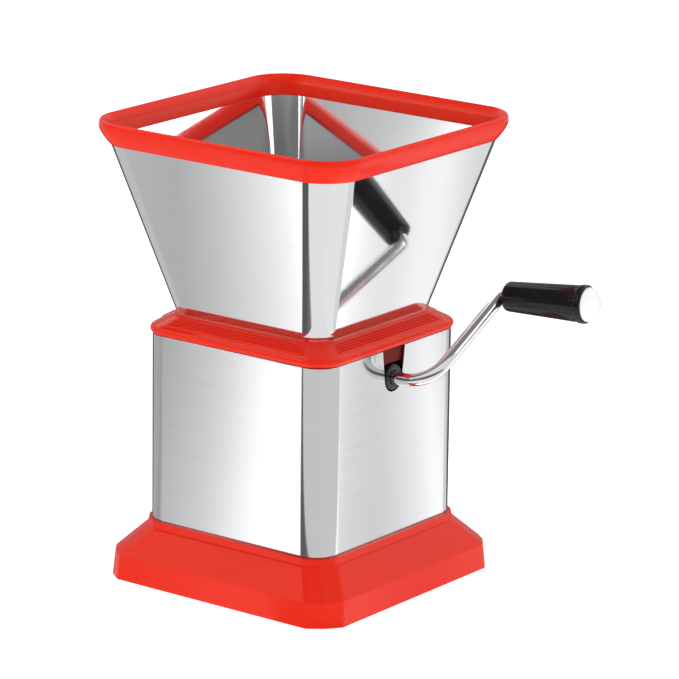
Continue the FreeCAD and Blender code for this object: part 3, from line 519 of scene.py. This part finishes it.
def build_hopper():
    """Steel funnel: an upright neck, a small bend and four leaning walls with rounded corners."""
    low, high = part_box("hopper")
    neck = 45.9 * MM
    neck_corner = 10.75 * MM
    top_corner = 18.2 * MM
    flare = 130.5 * MM
    sheet = 0.8 * MM
    bend_height = 1.6 * MM
    bend_steps = 8
    wall_steps = 8
    corner_growth = 0.33
    lean = (high.x - neck) / (high.z - flare)

    def level(half, corner, height, inset):
        return square_loop(half - inset, corner - inset, height, bends=FINE_BENDS)

    def side(inset):
        """Outlines from the neck's foot to the top edge, moved in by inset."""
        levels = [level(neck, neck_corner, low.z, inset)]
        for step in range(bend_steps + 1):
            share = step / bend_steps
            half = neck + lean * bend_height * share * share / 2
            corner = neck_corner + (half - neck) * corner_growth
            levels.append(level(half, corner, flare + bend_height * (share - 0.5), inset))
        wall_start = flare + bend_height / 2
        for step in range(1, wall_steps + 1):
            height = wall_start + (high.z - wall_start) * step / wall_steps
            climb = (height - flare) / (high.z - flare)
            corner = neck_corner + (top_corner - neck_corner) * climb
            levels.append(level(neck + (high.x - neck) * climb, corner, height, inset))
        return levels

    loops = side(0) + list(reversed(side(sheet)))
    hopper = skin("hopper_sheet", loops, ring=True)
    soften(hopper, 0.15 * MM, segments=2, limit=40)
    place_piece(hopper, "cutter_head", "hopper_steel", "hopper")


def rim_profile(bottom, top, widest):
    """The bead's outline as (half-width, height), up the outside and down the inside."""
    belly = top - 2.7 * MM
    crest_inset = 1.0 * MM
    flank_reach = 4.0 * MM
    flank_steps = 10
    fullness = 1.6
    foot_width = 0.35 * MM
    foot_rise = 0.05 * MM
    profile = [(widest - flank_reach - foot_width, bottom + foot_rise)]
    for step in range(flank_steps):
        share = step / flank_steps
        half = widest - flank_reach * (1 - share) ** fullness
        profile.append((half, bottom + (belly - bottom) * share))
    for turn in quarter_turns(8):
        profile.append((widest - crest_inset * (1 - math.cos(turn)),
                        belly + (top - belly) * math.sin(turn)))
    # Inner slope: millimetres in from the widest point and down from the top.
    for inset, drop in ((1.35, 0.05), (1.7, 0.4), (3.0, 1.8), (4.1, 3.4), (4.6, 4.6)):
        profile.append((widest - inset * MM, top - drop * MM))
    # Inner foot: millimetres in from the widest point and up from the bottom.
    for inset, rise in ((6.1, 2.0), (5.9, 1.65), (5.3, 1.6)):
        profile.append((widest - inset * MM, bottom + rise * MM))
    return profile


def build_rim():
    """Red bead over the hopper's top edge; its corners tighten toward the inside."""
    low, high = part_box("hopper_rim")
    widest = high.x
    corner_at_widest = 20.5 * MM
    shrink_outside = 0.3
    shrink_inside = 0.9
    profile = rim_profile(low.z, high.z, widest)
    crest = max(range(len(profile)), key=lambda number: profile[number][1])
    loops = []
    for number, (half, height) in enumerate(profile):
        shrink = shrink_outside if number <= crest else shrink_inside
        corner = corner_at_widest - (widest - half) * shrink
        loops.append(square_loop(half, corner, height, bends=FINE_BENDS, sides=2))
    rim = skin("hopper_rim_bead", loops, ring=True)
    soften(rim)
    place_piece(rim, "cutter_head", "red_plastic", "hopper_rim")


RIB_COUNT = 5
RIB_SIDES = 48                              # segments along each side of the collar
RIB_STEPS = 8                               # levels in each rib
RIB_RISE = 0.8 * MM
RIB_OVERHANG = 1.5 * MM                     # how far a rib runs into the rounded corner
RIB_DIRECTION = Vector((0.51, 0, 0.86))     # square to the collar's slope


def collar_loop(half, corner, height, lift):
    """A collar outline whose sides stand out by lift, as far as just past their straight part."""
    points = square_loop(half, corner, height, sides=RIB_SIDES)
    reach = half - corner + RIB_OVERHANG
    fade_length = 1.2 * MM
    still_flat = 0.3 * MM
    for spin in QUARTER_SPINS:
        outward = spin @ Vector((1, 0, 0))
        sideways = spin @ Vector((0, 1, 0))
        push = spin @ RIB_DIRECTION * lift
        for number, point in enumerate(points):
            if point.dot(outward) < half - still_flat:
                continue
            fade = min(max((reach - abs(point.dot(sideways))) / fade_length, 0.0), 1.0)
            points[number] = point + push * math.sqrt(fade)
    return points


def collar_profile(seat, top, widest):
    """The collar's outside as (half-width, height, rib lift), from its foot to its lip."""
    belly_radius = 2.2 * MM
    brow_radius = 2.33 * MM
    slope_angle = 59
    slope_start = (53.6 * MM, 125.7 * MM)
    slope_end = (47.6 * MM, 129.3 * MM)
    shoulder = (46.95 * MM, 129.9 * MM)
    lip = 46.4 * MM
    lip_edge = (lip + 0.2 * MM, top - 0.15 * MM)
    belly = (widest - belly_radius, seat + belly_radius)
    brow = (widest - brow_radius, seat + belly_radius)
    foot = arc(belly, belly_radius, -90, 0, 8) + arc(brow, brow_radius, 8, slope_angle, 6)
    profile = [(half, height, 0.0) for half, height in foot]
    steps = RIB_COUNT * RIB_STEPS
    for step in range(steps + 1):
        share = step / steps
        wave = math.sin(math.pi * share * RIB_COUNT) ** 2
        profile.append((slope_start[0] + (slope_end[0] - slope_start[0]) * share,
                        slope_start[1] + (slope_end[1] - slope_start[1]) * share,
                        RIB_RISE * wave))
    profile += [(half, height, 0.0) for half, height in (shoulder, lip_edge, (lip, top))]
    return profile


def build_collar():
    """Ribbed red collar round the hopper's neck; the spigot that enters the container is painted darker red as
    shade inside the slot.
    """
    low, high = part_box("collar")
    widest = high.x
    seat = 120.8 * MM
    corner_at_widest = 14.0 * MM
    shrink = 0.3
    bore = 44.0 * MM
    bore_corner = 10.0 * MM
    neck = 45.9 * MM
    neck_corner = 10.75 * MM
    neck_seat = 123.0 * MM
    spigot = 53.4 * MM
    spigot_corner = 11.6 * MM
    spigot_inside = 51.4 * MM
    spigot_inside_corner = 9.6 * MM
    spigot_top = seat - 0.3 * MM
    cradle_top = 118.0 * MM
    loops = []
    for half, height, lift in collar_profile(seat, high.z, widest):
        loops.append(collar_loop(half, corner_at_widest - (widest - half) * shrink, height, lift))
    for half, corner, height in (
            (neck, neck_corner, high.z),
            (neck, neck_corner, neck_seat),
            (bore, bore_corner, neck_seat),
            (bore, bore_corner, cradle_top),
            (spigot_inside, spigot_inside_corner, cradle_top),
            (spigot_inside, spigot_inside_corner, low.z),
            (spigot, spigot_corner, low.z),
            (spigot, spigot_corner, seat)):
        loops.append(square_loop(half, corner, height, sides=RIB_SIDES))
    collar = skin("collar_moulding", loops, ring=True)
    soften(collar, 0.15 * MM, segments=2, limit=50)
    place_piece(collar, "cutter_head", "red_plastic", "collar")
    # Painted shade: the spigot's faces below the seat take the darker red material, standing in for the shadow
    # that falls inside the slot.
    collar.data.materials.append(materials["dark_red_plastic"])
    for face in collar.data.polygons:
        if face.center.z < spigot_top:
            face.material_index = 1


# ---------------------------------------------------------------- crank and grip

def build_rod():
    """Bright bar bent twice in one plane: shaft, arm and grip spindle."""
    low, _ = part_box("crank_rod")
    radius = 3.2 * MM
    chamfer = 0.5 * MM
    elbow_bend = 15.0 * MM
    corner_bend = 3.5 * MM
    spindle_length = 43.6 * MM
    shaft_end = Vector((low.x, shaft_point.y, shaft_point.z))
    elbow = Vector((75.0 * MM, shaft_point.y, shaft_point.z))
    spindle_end = corner_point + spindle_axis * spindle_length
    path = bent_path([shaft_end, elbow, corner_point, spindle_end], [elbow_bend, corner_bend])
    flat_normal = X_AXIS.cross(corner_point - shaft_point).normalized()
    bar = round_bar("crank_rod_bar", path, radius, chamfer, flat_normal)
    soften(bar)
    place_piece(bar, "crank", "bright_steel", "crank_rod")


GRIP_END = 47.0 * MM        # along the spindle, from the crank's corner
GRIP_POCKET = 7.0 * MM      # radius of the hole that takes the cap's plug


def on_spindle():
    """A place at the crank's corner whose X runs along the grip's spindle."""
    return axis_frame(corner_point, spindle_axis, corner_point - shaft_point)


def build_grip():
    """Black grip with a rounded root, a slight taper and a flared end that holds the cap."""
    start = 3.0 * MM
    bore = 3.3 * MM
    root_face = 5.2 * MM
    root_bend = 2.4 * MM
    root_radius = 7.3 * MM
    taper_length = 35.0 * MM
    taper_rise = 1.5 * MM
    taper_steps = 12
    waist = ((41.6 * MM, 8.8 * MM), (42.4 * MM, 8.75 * MM), (43.0 * MM, 8.95 * MM))
    flare = 9.3 * MM
    flare_start = 44.2 * MM
    flare_bend = 0.8 * MM
    end_bend = 1.0 * MM
    pocket_floor = 41.6 * MM
    profile = [(start, bore)]
    for turn in quarter_turns(8):
        profile.append((start + root_bend * (1 - math.cos(turn)),
                        root_face + (root_radius - root_face) * math.sin(turn)))
    for step in range(1, taper_steps + 1):
        share = step / taper_steps
        profile.append((start + root_bend + taper_length * share, root_radius + taper_rise * share))
    profile += waist
    profile += reversed(arc((flare_start, flare - flare_bend), flare_bend, 90, 160, 4))
    profile += reversed(arc((GRIP_END - end_bend, flare - end_bend), end_bend, 0, 90, 5))
    profile += [(GRIP_END, GRIP_POCKET), (pocket_floor, GRIP_POCKET), (pocket_floor, bore)]
    grip = turned("handle_grip_body", profile, on_spindle(), 80)
    soften(grip, 0.15 * MM, segments=2, limit=50)
    place_piece(grip, "grip", "black_plastic", "handle_grip")


def build_cap():
    """White domed cap whose plug sits in the grip's end."""
    plug = 44.8 * MM
    radius = 8.2 * MM
    foot_inset = 0.3 * MM
    foot_height = 0.25 * MM
    dome = 5.1 * MM
    dome_steps = 16
    fullness = 0.8
    profile = [(plug, 0), (plug, GRIP_POCKET), (GRIP_END, GRIP_POCKET),
               (GRIP_END, radius - foot_inset)]
    for turn in quarter_turns(dome_steps)[:-1]:
        profile.append((GRIP_END + foot_height + (dome - foot_height) * math.sin(turn),
                        radius * math.cos(turn) ** fullness))
    profile.append((GRIP_END + dome, 0))
    cap = turned("grip_end_cap_dome", profile, on_spindle())
    soften(cap)
    place_piece(cap, "grip", "white_plastic", "grip_end_cap")


def build_crank_side_bush():
    """Black flanged bush at the foot of the slot."""
    low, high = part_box("crank_side_bush")
    bore = 3.25 * MM
    bore_chamfer = 0.5 * MM
    flange = (high.z - low.z) / 2
    flange_chamfer = 0.6 * MM
    flange_back = high.x - 3.0 * MM
    barrel = 4.8 * MM
    profile = [(low.x, bore), (high.x - bore_chamfer, bore), (high.x, bore + bore_chamfer),
               (high.x, flange - flange_chamfer), (high.x - flange_chamfer, flange),
               (flange_back, flange), (flange_back, barrel), (low.x, barrel)]
    bush = turned("crank_side_bush_turned", profile,
                  axis_frame(shaft_point, X_AXIS, Vector((0, 0, 1))))
    soften(bush, 0.1 * MM, segments=2, limit=50)
    place_piece(bush, "cutter_head", "black_plastic", "crank_side_bush")


# ---------------------------------------------------------------- inner pieces

def refine(node, width):
    """A copy of a CAD node with clean flats and rounded edges, which stands for it."""
    original = frame["nodes"][node]
    slot = next(item["material_slot"] for item in frame["record"]["subparts"]
                if item["node"] == node)
    body = next(name for name, members in frame["record"]["behaviour"]["bodies"].items()
                if node in members)
    mesh = original.data.copy()
    shell = bmesh.new()
    shell.from_mesh(mesh)
    bmesh.ops.remove_doubles(shell, verts=shell.verts, dist=0.002 * MM)
    bmesh.ops.dissolve_limit(shell, angle_limit=math.radians(0.5), verts=shell.verts,
                             edges=shell.edges)
    shell.to_mesh(mesh)
    shell.free()
    piece = bpy.data.objects.new(f"{node}_finished", mesh)
    bpy.context.scene.collection.objects.link(piece)
    soften(piece, width, segments=2, limit=30)
    place_piece(piece, body, slot, node)


def finish_inner_nodes():
    """Every node that isn't rebuilt above keeps its CAD shape and gets its material."""
    edge_widths = {"cutter_cradle": 0.4 * MM, "rotor_hub": 0.3 * MM, "container_floor": 0.4 * MM,
                   "front_blade_comb": 0.08 * MM, "back_blade_comb": 0.08 * MM}
    edge_widths.update({f"rotor_star_{number}": 0.25 * MM for number in range(1, 10)})
    for node, width in edge_widths.items():
        refine(node, width)
    for item in frame["record"]["subparts"]:
        shown = frame["nodes"][item["node"]]
        if shown.hide_render:
            continue
        shown.data.materials.clear()
        shown.data.materials.append(materials[item["material_slot"]])


# ---------------------------------------------------------------- studio

def build_camera():
    """Long lens, above and to the right of the front, with the photograph's slight roll."""
    azimuth = math.radians(37.07)
    elevation = math.radians(15.41)
    roll = math.radians(0.77)
    distance = 2.1108
    aim_right = 0.01935
    aim_up = 0.11112
    back = Vector((math.sin(azimuth) * math.cos(elevation),
                   -math.cos(azimuth) * math.cos(elevation), math.sin(elevation)))
    level_right = Vector((math.cos(azimuth), math.sin(azimuth), 0))
    level_up = back.cross(level_right)
    right = level_right * math.cos(roll) + level_up * math.sin(roll)
    up = level_up * math.cos(roll) - level_right * math.sin(roll)
    data = bpy.data.cameras.new("photo_camera")
    data.lens = 229.7
    data.sensor_width = 36.0
    data.clip_end = 20.0
    camera = bpy.data.objects.new("photo_camera", data)
    camera.matrix_world = Matrix((right, up, back)).transposed().to_4x4()
    camera.location = back * distance + right * aim_right + up * aim_up
    bpy.context.scene.collection.objects.link(camera)
    bpy.context.scene.camera = camera


def area_light(name, place, size, power):
    """A soft lamp, aimed at the object, that lights it but isn't mirrored in it."""
    aim = Vector((0, 0, 0.1))
    data = bpy.data.lights.new(name, "AREA")
    data.shape = "RECTANGLE"
    data.size, data.size_y = size
    data.energy = power
    light = bpy.data.objects.new(name, data)
    light.location = place
    light.rotation_euler = (aim - Vector(place)).to_track_quat("-Z", "Y").to_euler()
    light.visible_glossy = False
    bpy.context.scene.collection.objects.link(light)


def build_floor():
    """Plain pale floor with a faint mottle."""
    half = 4.0
    floor = new_object("studio_floor", [(-half, -half, 0), (half, -half, 0), (half, half, 0),
                                        (-half, half, 0)], [(0, 1, 2, 3)])
    graph = Graph("pale_floor")
    mottle = graph.spread(graph.noise(6.0, detail=4.0), 0.0, 1.0)
    graph.join(graph.blend_colours(mottle, (0.90, 0.90, 0.90), (0.88, 0.88, 0.88)),
               graph.shader.inputs["Base Color"])
    graph.set(Roughness=0.8, Emission_Color=(1, 1, 1, 1), Emission_Strength=0.55)
    floor.data.materials.append(graph.material)


# The polished steel looks the way it does because of the cards below, which show in reflections
# only.  Their corners are (across, forward, up) in metres.  Forward points to the front left, where
# the left wall's reflections go; the right wall's go the opposite way.  Across is square to both,
# so brightness that changes along it shows as upright bands on the walls.
ACROSS = Vector((0.8, -0.6, 0))
FORWARD = Vector((-0.6, -0.8, 0))
UPWARD = Vector((0, 0, 1))


def reflector(name, corners, material):
    """A studio card that only shows as a reflection in the steel and the plastic."""
    points = [ACROSS * right + FORWARD * front + UPWARD * up for right, front, up in corners]
    card = new_object(name, points, [tuple(range(len(points)))])
    card.data.materials.append(material)
    card.visible_camera = False
    card.visible_diffuse = False
    card.visible_transmission = False
    card.visible_shadow = False


def glow(name):
    """A material that only gives light, and the socket that holds its strength."""
    graph = Graph(name)
    emission = graph.node("ShaderNodeEmission")
    output = next(node for node in graph.tree.nodes if node.type == "OUTPUT_MATERIAL")
    graph.join(emission.outputs["Emission"], output.inputs["Surface"])
    return graph, emission.inputs["Strength"]


def card_pattern(graph, stops, direction):
    """Brightness across a card: stops are (millimetres along direction, strength)."""
    mapped = graph.node("ShaderNodeVectorMath")
    mapped.operation = "DOT_PRODUCT"
    graph.join(graph.place, mapped.inputs[0])
    mapped.inputs[1].default_value = direction
    first, last = stops[0][0], stops[-1][0]
    share = graph.spread(mapped.outputs["Value"], 0.0, 1.0, from_low=first * MM, from_high=last * MM)
    brightest = max(strength for _, strength in stops)
    ramp = graph.tree.nodes.new("ShaderNodeValToRGB")
    elements = ramp.color_ramp.elements
    while len(elements) > 1:
        elements.remove(elements[-1])
    for number, (along, strength) in enumerate(stops):
        at = (along - first) / (last - first)
        element = elements[0] if number == 0 else elements.new(at)
        element.position = at
        element.color = (strength / brightest,) * 3 + (1,)
    graph.join(share, ramp.inputs["Fac"])
    scaled = graph.node("ShaderNodeMath")
    scaled.operation = "MULTIPLY"
    graph.join(ramp.outputs["Color"], scaled.inputs[0])
    scaled.inputs[1].default_value = brightest
    return scaled.outputs["Value"]


def plain_card(name, strength, corners):
    """A card of one brightness."""
    graph, socket = glow(name)
    socket.default_value = strength
    reflector(name, corners, graph.material)


def graded_card(name, direction, stops, corners):
    """A card whose brightness follows its stops along a direction."""
    graph, socket = glow(name)
    graph.join(card_pattern(graph, stops, direction), socket)
    reflector(name, corners, graph.material)


def lying(start, end, up, half_width):
    """Corners of a flat card between two places along forward."""
    return ((-half_width, start, up), (half_width, start, up),
            (half_width, end, up), (-half_width, end, up))


def upright(start, end, front, low, high):
    """Corners of a standing card between two places along across."""
    return ((start, front, low), (end, front, low), (end, front, high), (start, front, high))


def wedge(right, front, first, last, up):
    """A flat triangle whose point is under a corner of the object; angles from forward, in degrees."""
    reach = 1.2
    outer = [(right + reach * math.sin(math.radians(turn)),
              front + reach * math.cos(math.radians(turn)), up) for turn in (first, last)]
    return ((right, front, up), *outer)


def build_table_cards():
    """The bands that the flat walls mirror, and the dark edges beside them."""
    table = 0.5 * MM
    above_table = 0.8 * MM
    edge = 0.12
    graded_card("front_card", ACROSS, (
        (-480, 0.55), (-100, 0.55), (-42, 0.46), (-20, 0.6), (-5, 0.745), (9, 0.885), (20, 1.04),
        (41, 1.57), (50, 1.75), (70, 1.75), (76, 0.15), (122, 0.15), (134, 0.82), (480, 0.82)),
        lying(0.0, 0.9, table, 0.9))
    graded_card("side_card", ACROSS, (
        (-480, 0.75), (-55, 0.75), (-48, 0.85), (-44, 0.93), (-35, 1.02), (-25, 0.98), (-16, 0.88),
        (-8, 0.86), (0, 0.92), (5, 1.0), (11, 1.08), (16, 1.55), (20, 1.55), (26, 1.32), (34, 1.16),
        (42, 1.02), (50, 0.93), (68, 1.03), (75, 1.45), (90, 1.53), (100, 0.84), (480, 0.84)),
        lying(-0.9, 0.0, table, 0.9))
    plain_card("left_edge_card", edge, wedge(-0.008, 0.056, -66, -112, above_table))
    plain_card("right_edge_card", edge, wedge(0.008, -0.056, -154, -90, above_table))


def build_collar_cards():
    """For the hopper's near corner: a dark line, a grey one, and a card that hides the collar's red."""
    level = 0.123
    plain_card("front_line_card", 0.1, (
        (0.052, 0.012, level), (0.057, 0.012, level), (0.130, 0.155, level), (0.068, 0.155, level)))
    plain_card("side_line_card", 0.72, (
        (0.055, -0.012, level), (0.064, -0.012, level),
        (0.150, -0.155, level), (0.0655, -0.155, level)))
    collar_top = 0.1328
    plain_card("collar_corner_card", 0.8, (
        (0.0568, 0.0153, collar_top), (0.061, 0.0087, collar_top), (0.0588, 0.0013, collar_top),
        (0.0820, 0.0060, collar_top), (0.0808, 0.0170, collar_top)))


def build_standing_cards():
    """Cards round the object, for the hopper's inside, the crank and the plastic's gloss."""
    graded_card("upright_card", ACROSS, (
        (-500, 0.45), (-80, 0.45), (-40, 0.6), (-20, 0.75), (-8, 0.95), (0, 1.15), (10, 1.6),
        (28, 1.6), (36, 0.12), (500, 0.12)), upright(-0.5, 0.5, 0.55, 0.02, 0.42))
    graded_card("near_card", UPWARD, ((0, 0.14), (560, 0.14), (620, 0.25), (650, 0.25)),
                ((0.6, -0.5, 0.02), (0.6, 0.55, 0.02), (0.6, 0.55, 0.65), (0.6, -0.5, 0.65)))
    graded_card("corner_card", UPWARD, ((0, 0.17), (600, 0.17), (650, 0.36), (800, 0.36)),
                ((0.6, 0.3, 0.02), (0.35, 0.8, 0.02), (0.35, 0.8, 0.8), (0.6, 0.3, 0.8)))
    plain_card("back_card", 2.0,
               ((-0.90, -0.13, 0.57), (-0.86, 0.35, 0.57), (-0.86, 0.35, 1.0), (-0.90, -0.13, 1.0)))
    graded_card("front_strip", UPWARD, (
        (690, 4.0), (820, 4.0), (832, 0.6), (860, 0.6), (872, 4.0), (1100, 4.0)),
        upright(-0.34, 0.07, 1.2, 0.69, 1.1))
    plain_card("side_strip", 2.2, upright(-0.3, 0.2, -1.2, 0.36, 0.58))
    graded_card("ceiling_card", FORWARD, (
        (-2600, 1.5), (-1300, 1.5), (-600, 0.2), (600, 0.2), (1300, 1.5), (2600, 1.5)),
        lying(-2.6, 2.6, 1.3, 2.2))


def build_studio():
    """Plain pale surroundings and three soft lamps."""
    scene = bpy.context.scene
    scene.view_settings.view_transform = "Standard"
    world = bpy.data.worlds.new("studio")
    world.use_nodes = True
    background = world.node_tree.nodes["Background"]
    background.inputs["Color"].default_value = (0.95, 0.97, 1.0, 1)
    background.inputs["Strength"].default_value = 0.5
    scene.world = world
    area_light("key", (-0.9, -1.3, 1.5), (1.2, 1.2), 12)
    area_light("fill", (1.6, -0.5, 0.9), (1.0, 1.0), 7)
    area_light("top", (0.1, 0.3, 1.9), (1.4, 1.4), 12)


build_base()
build_sleeve()
build_hopper()
build_rim()
build_collar()
build_rod()
build_grip()
build_cap()
build_crank_side_bush()
finish_inner_nodes()
build_floor()
build_table_cards()
build_collar_cards()
build_standing_cards()
build_camera()
build_studio()
